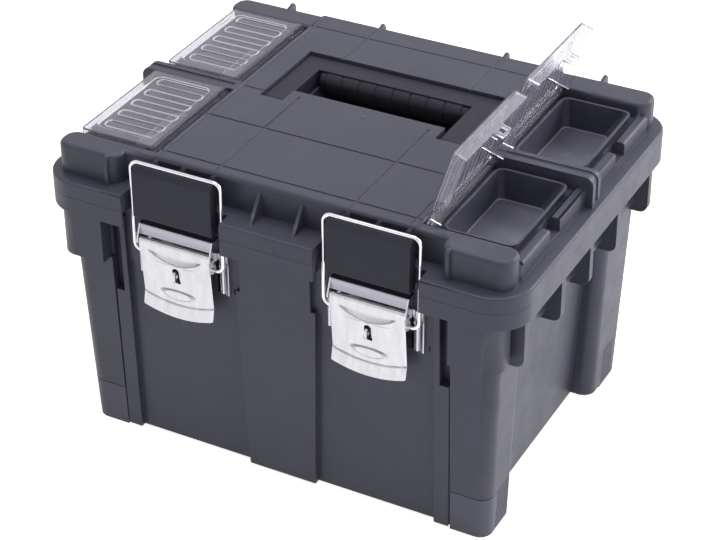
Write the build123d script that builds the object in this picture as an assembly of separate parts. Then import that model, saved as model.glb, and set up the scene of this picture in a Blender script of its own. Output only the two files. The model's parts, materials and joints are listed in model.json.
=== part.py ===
from build123d import *
import math
import os

# Frame: X to the right along the front, Y to the back, Z up. All sizes are millimetres.
# The pieces are drawn round an origin on the floor, under the middle of the rim.
# They are saved with it under the middle of the whole box, rear hinges included.

# Overall sizes
rim_width = 450.0
rim_depth = 342.0
rim_corner_radius = 34.0
tub_height = 243.6
tub_rim_height = 15.6
lid_rim_height = 14.6
lid_rise = 30.0
parting_gap = 0.3
wall = 3.0
edge_round = 1.2

# Tub walls, measured in from the rim
side_wall_inset = 35.0
side_wall_draft = 12.0
front_wall_inset = 18.0
front_wall_draft = 5.5
back_wall_inset = 28.5
back_wall_draft = 8.0
tub_corner_radius = 10.0

# Side band and the buttress ribs under the rim
band_inset = 19.5
band_drop = 43.0
side_rib_inset = 5.5
side_rib_thickness = 7.0
side_rib_inner_y = 60.5
side_rib_end_inset = 36.0
side_rib_drop = 50.0
side_rib_round = 8.0

# Corner posts and front skirts, measured in from the rim
post_inner_inset_x = 62.0
post_side_inset = 21.5
post_side_draft = 5.5
post_front_inset = 13.5
post_front_draft = 5.5
post_front_inner_inset = 70.0
post_back_inset = 24.0
post_back_draft = 8.0
post_back_inner_inset = 96.0
post_corner_radius = 12.0
skirt_inner_inset_x = 60.0
skirt_inner_inset_y = 26.0
skirt_side_inset = 15.0
skirt_front_inset = 3.0
skirt_corner_radius = 15.0
skirt_drop = 45.0

# Centre pilaster, and the strip, slot and groove beside each front post
pilaster_gap = 3.75
pilaster_taper = 0.825
pilaster_proud = 6.0
strip_width = 15.0
strip_proud = 5.0
slot_width = 10.0
slot_depth = 6.0
slot_drop = 77.0
groove_width = 1.6
groove_depth = 3.0

# Corner feet
foot_height = 42.0
foot_length = 42.0
foot_wall = 2.4
foot_clearance = 0.1
foot_rib_count = 8
foot_rib_pitch = 3.0
foot_rib_width = 1.2
foot_rib_depth = 0.6

# Raised top of the lid, measured in from the rim
raised_side_inset = 12.0
raised_end_inset = 13.0
raised_corner_radius = 20.0
front_face_inset = 28.0
end_bar_length = 62.0
end_bar_drop = 2.0
end_bar_depth = 27.0
raised_edge_round = 4.0
grid_line_width = 2.4
grid_line_depth = 0.8
grid_line_inset = 161.5
grid_line_y = -59.0
rib_thickness = 3.0
tab_gusset_reach = 18.0

# Small-parts bins in the lid, measured in from the rim
bin_zone_inset = 100.0
divider_width = 16.0
divider_drop = 1.5
divider_groove_width = 6.0
divider_groove_depth = 1.2
channel_drop = 16.5
bar_width = 10.0
bar_rise = 3.0
bin_lip_drop = 7.5
bin_depth = 36.5
bin_wall = 2.2
bin_inner_margin = 14.0
bin_outer_margin = 5.0
bin_end_margin = 9.0
bin_floor_taper = 17.0
bin_corner_radius = 6.0
catch_notch_length = 20.0
catch_notch_drop = 9.0
catch_notch_gap = 1.5
catch_length = 7.0
catch_gap = 0.4

# Clear flaps over the bins
flap_thickness = 2.0
flap_skirt_height = 12.5
flap_end_clearance = 1.5
flap_top_drop = 0.2
flap_edge_inset = 20.0
flap_barrel_radius = 2.6
flap_pin_radius = 1.5
flap_pin_length = 4.0
flap_hinge_offset = 6.0
flap_hinge_drop = 5.5
flap_tab_width = 16.0
flap_tab_drop = 9.0
flap_window_width = 8.0
flap_window_height = 5.0
open_angle = 72.5
flap_rib_height = 0.5
flap_rib_width = 1.6
flap_rib_count = 9

# Carrying handle and its well
handle_side_inset = 128.5
handle_arm_width = 20.2
handle_front_y = -6.9
handle_back_y = 83.5
handle_thickness = 15.0
handle_top_drop = 3.0
handle_bar_depth = 21.5
handle_clearance = 1.5
handle_pin_radius = 3.0
handle_pin_length = 4.0
handle_wall = 5.0
grip_radius = 11.0
grip_end_margin = 8.3
grip_rib_count = 8
grip_rib_width = 1.6
grip_rib_depth = 0.8
finger_well_depth = 39.0
finger_well_front_y = 12.0

# Latches
latch_inset = 133.0
notch_width = 96.5
lid_notch_inset = 16.0
seat_boss_width = 99.0
seat_recess_reach = 6.0
seat_recess_drop = 41.0
sheet = 1.3
lever_width = 69.4
lever_length = 70.0
lever_lip_length = 11.0
lever_lean = 4.6
lever_bottom_bulge = 6.5
lever_slot_width = 6.4
lever_slot_height = 16.0
lever_slot_drop = 27.0
lever_oval_width = 34.0
lever_oval_height = 11.0
lever_oval_drop = 46.0
lever_emboss = 1.0
pivot_reach = 12.0
pivot_drop = 41.5
pivot_pin_radius = 1.5
pivot_roll_radius = 3.3
crank_drop = 14.0
crank_back = 5.0
crank_lobe_radius = 3.5
ear_gap = 0.3
strap_height = 10.8
strap_gap = 0.9
strap_back = 1.6
bracket_width = 86.0
bracket_height = 54.0
bracket_lip = 2.0
wire_radius = 1.75
wire_gap = 5.8
wire_end_bend = 7.0
wire_top_bend = 7.0
wire_height = 85.5
wire_lean = 1.5
pad_width = 76.6
pad_height = 48.0
pad_front = 8.2
pad_back = 2.6
pad_bevel_height = 4.5
pad_bevel_depth = 5.0
pad_nest = 0.85
staple_thickness = 2.4
staple_height = 10.0
staple_reach = 16.0
staple_hole_radius = 1.8
rivet_radius = 2.0
rivet_head_radius = 3.4
rivet_head_height = 1.4
rivet_spacing_x = 40.0
rivet_spacing_z = 20.0

# Rear hinge
hinge_inset = 95.0
hinge_length = 64.0
hinge_knuckle_radius = 5.5
hinge_knuckle_gap = 0.4
hinge_pin_radius = 2.0
hinge_standoff = 6.0

# Running fits
pin_clearance = 0.05

# Levels worked out from the sizes above
half_width = rim_width / 2
half_depth = rim_depth / 2
tub_rim_z = tub_height - tub_rim_height
lid_bottom = tub_height + parting_gap
rim_top = lid_bottom + lid_rim_height
lid_top = rim_top + lid_rise
channel_z = lid_top - channel_drop
floor_z = foot_wall
CENTRE = (Align.CENTER, Align.CENTER, Align.CENTER)


def slab(x0, x1, y0, y1, z0, z1):
    """Plain block between two corners."""
    block = Box(x1 - x0, y1 - y0, z1 - z0, align=CENTRE)
    return Pos((x0 + x1) / 2, (y0 + y1) / 2, (z0 + z1) / 2) * block


def rounded_slab(x0, x1, y0, y1, z0, z1, radius):
    """Block with rounded vertical edges."""
    outline = RectangleRounded(x1 - x0, y1 - y0, radius)
    return Pos((x0 + x1) / 2, (y0 + y1) / 2, z0) * extrude(outline, z1 - z0)


def rod_x(x0, x1, y, z, radius):
    """Round rod along X."""
    rod = Cylinder(radius, x1 - x0, rotation=(0, 90, 0))
    return Pos((x0 + x1) / 2, y, z) * rod


def rod_y(x, y0, y1, z, radius):
    """Round rod along Y."""
    rod = Cylinder(radius, y1 - y0, rotation=(90, 0, 0))
    return Pos(x, (y0 + y1) / 2, z) * rod


def prism_x(points, x0, x1):
    """Outline given as (y, z) points, extruded along X."""
    face = make_face(Polyline(*[(x0, y, z) for y, z in points], close=True))
    return extrude(face, x1 - x0, dir=(1, 0, 0))


def prism_y(points, y0, y1):
    """Outline given as (x, z) points, extruded along Y."""
    face = make_face(Polyline(*[(x, y0, z) for x, z in points], close=True))
    return extrude(face, y1 - y0, dir=(0, 1, 0))


def both_sides(shape):
    """The shape and its mirror image across the middle."""
    return [shape, mirror(shape, about=Plane.YZ)]


def round_vertical(shape, radius, picks):
    """Round the upright edges nearest the given (x, y) points."""
    upright = shape.edges().filter_by(Axis.Z)
    chosen = []
    for x, y in picks:
        chosen.append(min(upright, key=lambda e: math.hypot(e.center().X - x, e.center().Y - y)))
    return fillet(chosen, radius)


# Tub

def post_section(z, inset, back):
    """Corner post on the right, cut level at a height."""
    rise = (z - floor_z) / (tub_rim_z - skirt_drop - floor_z)
    x_out = half_width - post_side_inset - post_side_draft * (1 - rise) - inset
    x_in = half_width - post_inner_inset_x + inset
    if back:
        y_out = half_depth - post_back_inset - post_back_draft * (1 - rise) - inset
        y_in = half_depth - post_back_inner_inset + inset
    else:
        y_out = -(half_depth - post_front_inset - post_front_draft * (1 - rise) - inset)
        y_in = -(half_depth - post_front_inner_inset + inset)
    outline = Pos((x_in + x_out) / 2, (y_in + y_out) / 2, z) * Rectangle(x_out - x_in, abs(y_out - y_in))
    corners = outline.vertices().sort_by(Axis.X)[-2:]
    return fillet(corners, post_corner_radius - inset).face()


def post(z0, z1, inset, back):
    """Corner post on the right between two heights."""
    return loft([post_section(z0, inset, back), post_section(z1, inset, back)])


def tub_front_y(z):
    """Y of the front wall at a height."""
    fall = (tub_rim_z - z) / (tub_rim_z - floor_z)
    return -(half_depth - front_wall_inset - front_wall_draft * fall)


latch_seat_y = -(half_depth - front_wall_inset)
lid_notch_y = -(half_depth - lid_notch_inset)
latch_centre_x = half_width - latch_inset
pilaster_half = latch_centre_x - notch_width / 2 - pilaster_gap
hinge_centre_x = half_width - hinge_inset
hinge_y = half_depth + hinge_standoff
hinge_z = tub_height + parting_gap / 2


def latch_notch(z0, z1, back_y):
    """Room for one latch, cut out of the rim's front on the right."""
    x0 = latch_centre_x - notch_width / 2
    return slab(x0, x0 + notch_width, -half_depth - 1, back_y, z0, z1)


def hinge_knuckle(x0, x1, z_web0, z_web1):
    """Knuckle round the hinge axis with the web that joins it to the rim."""
    barrel = rod_x(x0, x1, hinge_y, hinge_z, hinge_knuckle_radius)
    web = slab(x0, x1, half_depth - wall, hinge_y, z_web0, z_web1)
    reach = hinge_standoff + hinge_knuckle_radius
    shadow = slab(x0, x1, half_depth - wall, half_depth + reach, z_web0, z_web1)
    return barrel + (web & shadow)


def hinge_bore(x0, x1, radius):
    return rod_x(x0, x1, hinge_y, hinge_z, radius)


def knuckle_spans():
    """X spans of tub, lid and tub knuckles of the right hinge."""
    start = hinge_centre_x - hinge_length / 2
    third = hinge_length / 3
    return [(start + i * third, start + (i + 1) * third - hinge_knuckle_gap) for i in range(3)]


core_width = rim_width - 2 * side_wall_inset
core_depth = rim_depth - front_wall_inset - back_wall_inset
base_width = core_width - 2 * side_wall_draft
base_depth = core_depth - front_wall_draft - back_wall_draft
core_middle = (front_wall_inset - back_wall_inset) / 2
base_middle = core_middle + (front_wall_draft - back_wall_draft) / 2


def tub_core(inset):
    """The drafted box of the four walls, or the room inside it."""
    radius = tub_corner_radius - inset
    low = RectangleRounded(base_width - 2 * inset, base_depth - 2 * inset, radius)
    high = RectangleRounded(core_width - 2 * inset, core_depth - 2 * inset, radius)
    low = Pos(0, base_middle, floor_z + inset) * low
    high = Pos(0, core_middle, tub_height - wall + 1 + inset) * high
    return loft([low.face(), high.face()])


def make_tub():
    band_z = tub_rim_z - band_drop
    skirt_z = tub_rim_z - skirt_drop
    band_half = half_width - band_inset
    plate_z = tub_height - wall

    shell = tub_core(0)
    front_y = tub_front_y(tub_rim_z)
    back_y = half_depth - back_wall_inset
    shell += rounded_slab(-band_half, band_half, front_y, back_y, band_z, plate_z + 1, tub_corner_radius)

    # Corner posts, drawn in where the foot caps go, and the front skirts
    skirt = slab(
        half_width - skirt_inner_inset_x, half_width - skirt_side_inset,
        -(half_depth - skirt_front_inset), -(half_depth - skirt_inner_inset_y), skirt_z, plate_z + 1,
    )
    skirt = round_vertical(skirt, skirt_corner_radius, [(half_width, -half_depth)])
    shell += both_sides(skirt)
    for back in (False, True):
        corner = post(floor_z, skirt_z + 1, 0, back) - foot_room(back)
        corner += post(floor_z, foot_height + wall, foot_wall + foot_clearance, back)
        shell += both_sides(corner)

    # Buttress ribs
    rib_z = tub_rim_z - side_rib_drop
    end_rib_y = half_depth - side_rib_end_inset
    for y in (-end_rib_y, -side_rib_inner_y, 0, side_rib_inner_y, end_rib_y):
        rib = slab(
            half_width - side_wall_inset - wall, half_width - side_rib_inset,
            y - side_rib_thickness / 2, y + side_rib_thickness / 2, rib_z, plate_z + 1,
        )
        low_edge = rib.edges().filter_by(Axis.Y).sort_by_distance((half_width, y, rib_z))[0]
        shell += both_sides(fillet(low_edge, side_rib_round))

    # Centre pilaster
    low_y = tub_front_y(floor_z) - pilaster_proud
    high_y = tub_front_y(tub_rim_z) - pilaster_proud
    low = Pos(0, low_y / 2, floor_z) * Rectangle(2 * pilaster_half * pilaster_taper, -low_y)
    high = Pos(0, high_y / 2, plate_z + 1) * Rectangle(2 * pilaster_half, -high_y)
    shell += loft([low.face(), high.face()])

    # Flat seats for the latch brackets
    half_seat = seat_boss_width / 2
    seat = slab(
        latch_x - half_seat, latch_x + half_seat, latch_seat_y, latch_seat_y + front_wall_inset / 2,
        bracket_low_z, plate_z + 1,
    )
    shell += both_sides(seat)

    # Strips beside the front posts
    strip_x = half_width - post_inner_inset_x - strip_width
    low_y = tub_front_y(floor_z)
    high_y = tub_front_y(tub_rim_z)
    strip = prism_x(
        [(low_y - strip_proud, floor_z), (high_y - strip_proud, tub_rim_z + 1),
         (high_y + wall, tub_rim_z + 1), (low_y + wall, floor_z)],
        strip_x, strip_x + strip_width,
    )
    shell += both_sides(strip)

    # Rim: a flat flange with a turned down edge
    rim = rounded_slab(
        -half_width, half_width, -half_depth, half_depth, tub_rim_z, tub_height, rim_corner_radius,
    )
    rim -= rounded_slab(
        -half_width + wall, half_width - wall, -half_depth + wall, half_depth - wall,
        tub_rim_z - 1, plate_z, rim_corner_radius - wall,
    )
    shell += rim

    # Inside: the walls keep one thickness
    shell -= tub_core(wall)
    shell -= rounded_slab(
        -band_half + wall, band_half - wall, front_y + wall, back_y - wall,
        band_z + wall, tub_height + 1, tub_corner_radius - wall,
    )
    for back in (False, True):
        shell -= both_sides(post(foot_height + wall * 2, skirt_z, wall, back))

    # Slot and groove along each front post, with a lining behind the slot
    slot_x = half_width - post_inner_inset_x - slot_width
    slot_back = front_y + slot_depth
    slot_z = tub_rim_z - slot_drop
    lining = slab(
        slot_x - wall, slot_x + slot_width + wall, front_y + wall / 2, slot_back + wall,
        slot_z - wall, plate_z + 1,
    )
    slot = slab(slot_x, slot_x + slot_width, -half_depth, slot_back, slot_z, tub_rim_z)
    groove = prism_x(
        [(-half_depth, floor_z - 1), (-half_depth, slot_z),
         (tub_front_y(slot_z) - strip_proud + groove_depth, slot_z),
         (tub_front_y(floor_z) - strip_proud + groove_depth, floor_z - 1)],
        slot_x + slot_width - groove_width, slot_x + slot_width,
    )
    shell += both_sides(lining)
    shell -= both_sides(slot + groove)
    shell -= both_sides(latch_notch(tub_rim_z - 1, tub_height + 1, latch_seat_y))
    half_bracket = bracket_width / 2 + parting_gap
    shell -= both_sides(slab(
        latch_x - half_bracket, latch_x + half_bracket, -half_depth - 1, latch_seat_y,
        bracket_low_z, tub_rim_z,
    ))
    shell -= both_sides(slab(
        pilaster_half - seat_recess_reach, latch_x, -half_depth - 1, latch_seat_y,
        tub_rim_z - seat_recess_drop, tub_rim_z,
    ))

    # Hinge knuckles on the back edge
    spans = knuckle_spans()
    for x0, x1 in (spans[0], spans[2]):
        knuckle = hinge_knuckle(x0, x1, tub_rim_z, hinge_z - parting_gap / 2)
        shell += both_sides(knuckle)
        shell -= both_sides(hinge_bore(x0 - 1, x1 + 1, hinge_pin_radius))
    return shell


def foot_seam_y(back):
    """Y where a foot cap ends against its post."""
    if back:
        return half_depth - post_back_inset - post_back_draft - foot_length
    return -(half_depth - post_front_inset - post_front_draft - foot_length)


def foot_room(back):
    """Room taken by a foot cap on the right."""
    far = half_depth if back else -half_depth
    y0, y1 = sorted((foot_seam_y(back), far))
    return slab(half_width - post_inner_inset_x - 1, half_width, y0, y1, -1, foot_height)


def make_foot(back):
    """Ribbed cap over a corner post on the right."""
    cap = post(0, foot_height + 1, 0, back) & foot_room(back)
    cap -= post(floor_z, foot_height + 2, foot_wall, back)
    cap -= tub_core(0)
    x_low = half_width - post_side_inset - post_side_draft - foot_rib_depth
    x_high = x_low + post_side_draft * foot_height / (tub_rim_z - skirt_drop)
    outward = 1 if back else -1
    for index in range(foot_rib_count):
        y = foot_seam_y(back) + outward * (index + 1) * foot_rib_pitch
        cap -= prism_y(
            [(x_low, floor_z), (half_width, floor_z),
             (half_width, foot_height + 1), (x_high, foot_height + 1)],
            y - foot_rib_width / 2, y + foot_rib_width / 2,
        )
    return cap


# Lid

bin_x0 = half_width - bin_zone_inset
bin_x1 = half_width - raised_side_inset
raised_front_y = -(half_depth - front_face_inset)
raised_end_y = half_depth - raised_end_inset
bin_end_y = raised_end_y - end_bar_depth
bin_start_y = divider_width / 2
flap_hinge_x = bin_x0 + flap_hinge_offset
flap_hinge_z = lid_top - flap_hinge_drop
flap_top_z = lid_top - flap_top_drop
flap_outer_x = half_width - flap_edge_inset
handle_half = half_width - handle_side_inset
grid_line_x = half_width - grid_line_inset
handle_top_z = lid_top - handle_top_drop
handle_pivot_y = handle_front_y + handle_thickness / 2
handle_pivot_z = handle_top_z - handle_thickness / 2
handle_slot_floor = handle_top_z - handle_thickness - handle_clearance
finger_floor = lid_top - finger_well_depth


def soft_block(x0, x1, y0, y1, z0, z1, corner, top):
    """Block with rounded upright edges and a rounded top."""
    block = rounded_slab(x0, x1, y0, y1, z0, z1, corner)
    return fillet(block.faces().sort_by(Axis.Z)[-1].edges(), top)


def raised_blocks(shrink, z0, drop):
    """Raised parts of the lid as blocks, drawn in all round for the hollow underneath."""
    s = shrink
    corner = raised_corner_radius - s
    small = raised_edge_round + 1 - s
    round_top = raised_edge_round if s == 0 else 1
    panel = soft_block(
        -bin_x0 + s, bin_x0 - s, raised_front_y + s, raised_end_y - s, z0, lid_top - drop, small, round_top,
    )
    blocks = [panel]
    bar_top = lid_top - end_bar_drop - drop
    end_in = bin_x1 - end_bar_length
    for sign in (-1, 1):
        near, far = sorted((sign * (bin_end_y + s), sign * (raised_end_y - s)))
        bar = soft_block(end_in + s, bin_x1 - s, near, far, z0, bar_top, corner * 0.6, round_top)
        blocks += both_sides(bar)
    low_x = bin_x0 - 12 + s
    high_x = end_in + 12 - s
    set_back = soft_block(low_x, high_x, raised_front_y + s, -bin_end_y - s, z0, bar_top, small, round_top)
    back_fill = soft_block(low_x, high_x, bin_end_y + s, raised_end_y - s, z0, bar_top, small, round_top)
    blocks += both_sides(set_back) + both_sides(back_fill)
    base = rounded_slab(low_x, bin_x1 - s, -bin_end_y - 6, bin_end_y + 6, z0, channel_z - drop, small)
    blocks += both_sides(base)
    return blocks


def bin_spans():
    """Y spans of the front and back bins."""
    return [(-bin_end_y, -bin_start_y), (bin_start_y, bin_end_y)]


def bin_block(y0, y1, grow, z0, z1):
    """One bin's cup on the right: narrower at the floor than at the lip."""
    x0 = bin_x0 + bin_inner_margin - grow
    x1 = flap_outer_x - bin_outer_margin + grow
    length = y1 - y0 - 2 * bin_end_margin + 2 * grow
    middle = (y0 + y1) / 2
    radius = bin_corner_radius + grow
    high = Pos((x0 + x1) / 2, middle, z1) * RectangleRounded(x1 - x0, length, radius)
    x2 = x1 - bin_floor_taper
    low = Pos((x0 + x2) / 2, middle, z0) * RectangleRounded(x2 - x0, length, radius)
    return loft([low.face(), high.face()])


def divider_block(half, drop):
    """Bar between two bins, rounded over at its outer end and drawn in by the drop."""
    x1 = half_width - edge_round * 4 - drop
    block = slab(bin_x0 - 1, x1, -half, half, rim_top - 1, lid_top - divider_drop - drop)
    top_edge = block.edges().filter_by(Axis.Y).sort_by_distance((half_width, 0, lid_top))[0]
    return fillet(top_edge, raised_edge_round * 2 - drop)


def make_lid():
    rim = rounded_slab(
        -half_width, half_width, -half_depth, half_depth, lid_bottom, rim_top, rim_corner_radius,
    )
    rim = fillet(rim.faces().sort_by(Axis.Z)[-1].edges(), edge_round * 2)
    shell = rim
    shell += raised_blocks(0, rim_top - 1, 0)

    # Hollow underneath, kept clear of the latch notches
    hollow = rounded_slab(
        -half_width + wall, half_width - wall, -half_depth + wall, half_depth - wall,
        lid_bottom - 1, rim_top - wall, rim_corner_radius - wall,
    )
    hollow += raised_blocks(wall, rim_top - wall - 1, wall)
    shell -= hollow - both_sides(
        latch_notch(lid_bottom - 2, rim_top + 1, lid_notch_y + wall)
        + slab(latch_centre_x - notch_width / 2 - wall, latch_centre_x + notch_width / 2 + wall,
               -half_depth, lid_notch_y + wall, lid_bottom - 2, rim_top + 1)
    )
    shell -= both_sides(latch_notch(lid_bottom - 1, rim_top + 1, lid_notch_y))

    # Bins, dividers and the outer bars
    lip_z = lid_top - bin_lip_drop
    bin_floor = lid_top - bin_depth
    divider = divider_block(divider_width / 2, 0)
    groove = slab(
        bin_x0 + wall, half_width, -divider_groove_width / 2, divider_groove_width / 2,
        rim_top + wall, lid_top,
    )
    groove -= divider_block(divider_width / 2, divider_groove_depth)
    shell += both_sides(divider - groove)
    half_divider = divider_width / 2 - wall
    shell -= both_sides(slab(
        bin_x0 + wall, bin_x1 - wall * 2, -half_divider, half_divider,
        channel_z - wall - 1, lid_top - divider_drop - divider_groove_depth - wall,
    ))
    for y0, y1 in bin_spans():
        middle = (y0 + y1) / 2
        bar = slab(bin_x1 - bar_width, bin_x1, y0 - 1, y1 + 1, channel_z - wall, channel_z + bar_rise)
        bar = fillet(bar.faces().sort_by(Axis.Z)[-1].edges().filter_by(Axis.Y), bar_rise * 0.9)
        notch_x = flap_outer_x - flap_thickness - catch_notch_gap
        notch_z = channel_z - catch_notch_drop
        half_notch = catch_notch_length / 2
        lining = slab(
            notch_x - wall, bin_x1, middle - half_notch - wall, middle + half_notch + wall,
            rim_top - 1, channel_z,
        )
        notch = slab(
            notch_x, bin_x1 + 1, middle - half_notch, middle + half_notch,
            notch_z, channel_z + bar_rise + 1,
        )
        catch_tip = flap_outer_x - flap_thickness - catch_gap
        catch = prism_y(
            [(notch_x - 0.5, channel_z - 3.2), (catch_tip, channel_z - 2.6), (notch_x - 0.5, channel_z)],
            middle - catch_length / 2, middle + catch_length / 2,
        )
        cup = bin_block(y0, y1, bin_wall, bin_floor - bin_wall, lip_z)
        pocket = bin_block(y0, y1, 0, bin_floor, lip_z + 0.01)
        shell += both_sides(bar + lining)
        shell -= both_sides(notch)
        shell += both_sides(cup + catch)
        shell -= both_sides(pocket)
        pin_hole = rod_y(flap_hinge_x, y0 - flap_pin_length - 0.5, y1 + flap_pin_length + 0.5, flap_hinge_z,
                         flap_pin_radius + pin_clearance)
        shell -= both_sides(pin_hole)

    # Handle well
    c = handle_clearance
    outer_x = handle_half + c
    inner_x = handle_half - handle_arm_width - c
    slot_front = handle_front_y - c
    slot_back = handle_back_y + c
    wall_x = outer_x + handle_wall
    well = slab(
        -wall_x, wall_x, slot_front - wall, slot_back + wall, handle_slot_floor - wall, lid_top - wall,
    )
    well += slab(
        -inner_x - wall, inner_x + wall, finger_well_front_y - wall, slot_back + wall,
        finger_floor - wall, lid_top - wall,
    )
    shell += well
    shell -= slab(-inner_x, inner_x, finger_well_front_y, slot_back, finger_floor, lid_top + 1)
    shell -= both_sides(slab(inner_x - 0.5, outer_x, slot_front, slot_back, handle_slot_floor, lid_top + 1))
    shell -= rod_x(
        -wall_x - 1, wall_x + 1, handle_pivot_y, handle_pivot_z, handle_pin_radius + pin_clearance,
    )

    # Grid lines on the top
    cut = lid_top - grid_line_depth
    w = grid_line_width / 2
    for y in (-bin_end_y, grid_line_y, bin_end_y):
        shell -= slab(-bin_x0, bin_x0, y - w, y + w, cut, lid_top + 1)
    line_x0 = grid_line_x - w
    line_x1 = grid_line_x + w
    cross = slab(line_x0, line_x1, raised_front_y - 1, finger_well_front_y - 9, cut, lid_top + 1)
    cross += slab(line_x0, line_x1, slot_back, raised_end_y + 1, cut, lid_top + 1)
    cross += slab(bin_x0 - 6 - w, bin_x0 - 6 + w, raised_front_y - 1, raised_end_y + 1, cut, lid_top + 1)
    cross += slab(outer_x, bin_x0 - 6, -w, w, cut, lid_top + 1)
    shell -= both_sides(cross)

    # Ribs over the front edge, behind the latches and beside the tab
    rib_top = lid_top - raised_edge_round * 0.5
    for x in (grid_line_x, latch_centre_x, bin_x0 - 6):
        rib = slab(
            x - rib_thickness / 2, x + rib_thickness / 2, lid_notch_y, raised_front_y + 3,
            rim_top - 1, rib_top - 1,
        )
        shell += both_sides(rib)
    gusset_x = pilaster_half / 2
    gusset = prism_x(
        [(raised_front_y + 1, rim_top - 1), (raised_front_y + 1, lid_top - 6),
         (raised_front_y - tab_gusset_reach, rim_top - 1)],
        gusset_x - rib_thickness / 2, gusset_x + rib_thickness / 2,
    )
    shell += both_sides(gusset)
    corner_x = bin_x1 - end_bar_length + 9
    for y, x in ((-raised_end_y, corner_x), (raised_end_y, corner_x), (raised_end_y, grid_line_x)):
        fin = slab(x - rib_thickness / 2, x + rib_thickness / 2, y - 3, y + 3, rim_top - 1, rib_top)
        fin = fillet(fin.edges().filter_by(Axis.X).sort_by(Axis.Z)[-2:], 2.5)
        shell += both_sides(fin)

    # Hinge knuckles on the back edge
    x0, x1 = knuckle_spans()[1]
    shell += both_sides(hinge_knuckle(x0, x1, hinge_z + parting_gap / 2, rim_top - edge_round * 3))
    shell -= both_sides(hinge_bore(x0 - 1, x1 + 1, hinge_pin_radius + pin_clearance))
    return shell


def make_flap(y0, y1):
    """Clear flap of a right hand bin, shut."""
    a = y0 + flap_end_clearance
    b = y1 - flap_end_clearance
    skirt_z = flap_top_z - flap_skirt_height
    t = flap_thickness
    plate = slab(flap_hinge_x, flap_outer_x, a, b, flap_top_z - t, flap_top_z)
    plate = fillet(plate.edges().filter_by(Axis.Z).sort_by(Axis.X)[-2:], 3)
    plate += slab(flap_outer_x - t, flap_outer_x, a + 3, b - 3, skirt_z, flap_top_z - t / 2)
    end_x = flap_hinge_x + flap_barrel_radius + 3.4
    for y in (a, b - t):
        plate += slab(end_x, flap_outer_x - 3, y, y + t, skirt_z, flap_top_z - t / 2)
    barrel = rod_y(flap_hinge_x, a, b, flap_hinge_z, flap_barrel_radius)
    pin_reach = flap_end_clearance + flap_pin_length
    pin = rod_y(flap_hinge_x, a - pin_reach, b + pin_reach, flap_hinge_z, flap_pin_radius)
    neck = slab(flap_hinge_x, flap_hinge_x + flap_barrel_radius, a, b, flap_hinge_z, flap_top_z - t / 2)
    middle = (a + b) / 2
    half_tab = flap_tab_width / 2
    half_window = flap_window_width / 2
    tab_z = skirt_z - flap_tab_drop
    tab = slab(flap_outer_x - t, flap_outer_x, middle - half_tab, middle + half_tab, tab_z, skirt_z + 1)
    tab -= slab(
        flap_outer_x - t - 1, flap_outer_x + 1, middle - half_window, middle + half_window,
        tab_z + 2.2, tab_z + 2.2 + flap_window_height,
    )
    flap = plate + barrel + neck + pin + tab

    # Raised bars across the top, in a winding row
    pitch = (b - a - 24) / flap_rib_count
    for index in range(flap_rib_count):
        y = a + 12 + (index + 0.5) * pitch
        bar = Pos((flap_hinge_x + flap_outer_x) / 2, y, flap_top_z) * extrude(
            SlotOverall(flap_outer_x - flap_hinge_x - 22, flap_rib_width * 2), flap_rib_height)
        flap += bar
    return flap


def make_handle():
    half = handle_half
    arm_in = half - handle_arm_width
    z0 = handle_top_z - handle_thickness
    arm = slab(arm_in, half, handle_pivot_y, handle_back_y, z0, handle_top_z)
    arm += rod_x(arm_in, half, handle_pivot_y, handle_pivot_z, handle_thickness / 2)
    pin_end = half + handle_clearance + handle_pin_length
    arm += rod_x(half - 1, pin_end, handle_pivot_y, handle_pivot_z, handle_pin_radius)
    bar = slab(-half, half, handle_back_y - handle_bar_depth, handle_back_y, z0, handle_top_z)
    grip_y = handle_back_y - handle_bar_depth + grip_radius * 0.45
    grip_z = handle_top_z - grip_radius - 0.6
    grip_end = arm_in - 2 * handle_clearance
    grip = rod_x(-grip_end, grip_end, grip_y, grip_z, grip_radius - grip_rib_depth)
    grip_length = 2 * (arm_in - grip_end_margin)
    pitch = grip_length / grip_rib_count
    for index in range(grip_rib_count):
        x = -grip_length / 2 + index * pitch
        grip += rod_x(x + grip_rib_width / 2, x + pitch - grip_rib_width / 2, grip_y, grip_z, grip_radius)
    handle = bar + both_sides(arm)
    handle += grip
    return handle


# Latches, drawn for the right one

latch_x = latch_centre_x
lever_half = lever_width / 2
pivot_y = latch_seat_y - pivot_reach
pivot_z = rim_top - pivot_drop
crank_y = pivot_y + crank_back
crank_z = pivot_z - crank_drop
ear_in = lever_half + ear_gap
ear_out = ear_in + sheet
wire_x = ear_out + wire_gap + wire_radius
plate_front_y = latch_seat_y - sheet
strap_z0 = pivot_z + pivot_roll_radius + strap_gap
strap_z1 = strap_z0 + strap_height
bracket_low_z = strap_z1 - bracket_height


def hull_x(circles, x0, x1):
    """Plate round some (y, z, radius) circles, standing across X."""
    edges = []
    for y, z, radius in circles:
        edges += (Pos(y, z) * Circle(radius)).edges()
    face = make_hull(edges)
    plane = Plane(origin=(x0, 0, 0), x_dir=(0, 1, 0), z_dir=(1, 0, 0))
    return extrude(plane * face, x1 - x0)


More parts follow.
